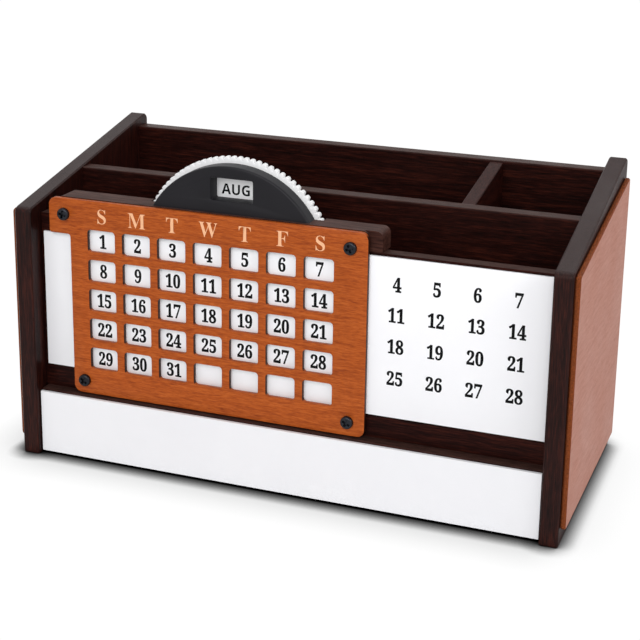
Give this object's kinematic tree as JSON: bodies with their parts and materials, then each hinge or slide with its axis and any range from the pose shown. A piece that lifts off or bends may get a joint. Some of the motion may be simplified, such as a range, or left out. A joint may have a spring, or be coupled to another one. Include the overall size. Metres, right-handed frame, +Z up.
{
  "type": "desk calendar with drawer",
  "caption": "Wooden desk organizer with open compartments, a sliding perpetual calendar with a month wheel on its front, and a drawer in its base.",
  "frame": {"origin": "middle of the footprint, on the desk's surface", "axes": "+X along the width to the right as seen from the front, +Y from the front to the back, +Z up"},
  "size_m": [0.2546, 0.114, 0.146],
  "materials": {
    "dark_wood": "satin",
    "cherry_wood": "satin",
    "facing_wood": "satin",
    "white_board": "semi-gloss",
    "white_plastic": "matte",
    "black_plastic": "matte",
    "dark_steel": "satin"
  },
  "bodies": {
    "case": {"left_end_panel": "dark_wood", "right_end_panel": "dark_wood", "left_side_facing": "facing_wood", "right_side_facing": "facing_wood", "back_panel": "dark_wood", "middle_divider": "dark_wood", "cross_divider": "dark_wood", "front_wall": "dark_wood", "compartment_floor": "dark_wood", "base_board": "dark_wood", "number_board": "white_board"},
    "calendar_carriage": {"calendar_frame": "cherry_wood", "top_spacer": "dark_wood", "saddle_block": "dark_wood", "left_cheek": "dark_wood", "right_cheek": "dark_wood", "rear_leg": "dark_wood", "guide_strip": "dark_wood", "month_cover": "black_plastic", "cover_pins": "dark_steel", "dial_axle": "dark_steel", "frame_screw_upper_left": "dark_steel", "frame_screw_upper_right": "dark_steel", "frame_screw_lower_left": "dark_steel", "frame_screw_lower_right": "dark_steel"},
    "month_dial": {"month_wheel": "white_plastic"},
    "drawer": {"drawer_front": "dark_wood", "drawer_face_plate": "white_board", "drawer_left_side": "dark_wood", "drawer_right_side": "dark_wood", "drawer_back": "dark_wood", "drawer_bottom": "dark_wood"}
  },
  "joints": [
    {"name": "calendar_slide", "type": "slide", "parent": "case", "child": "calendar_carriage", "axis": [1, 0, 0], "range_m": [-0.006, 0.072]},
    {"name": "month_turn", "type": "hinge", "parent": "calendar_carriage", "child": "month_dial", "pos_m": [-0.025, -0.0392, 0.101], "axis": [0, 1, 0], "continuous": true},
    {"name": "drawer_slide", "type": "slide", "parent": "case", "child": "drawer", "axis": [0, -1, 0], "range_m": [0, 0.085]}
  ]
}
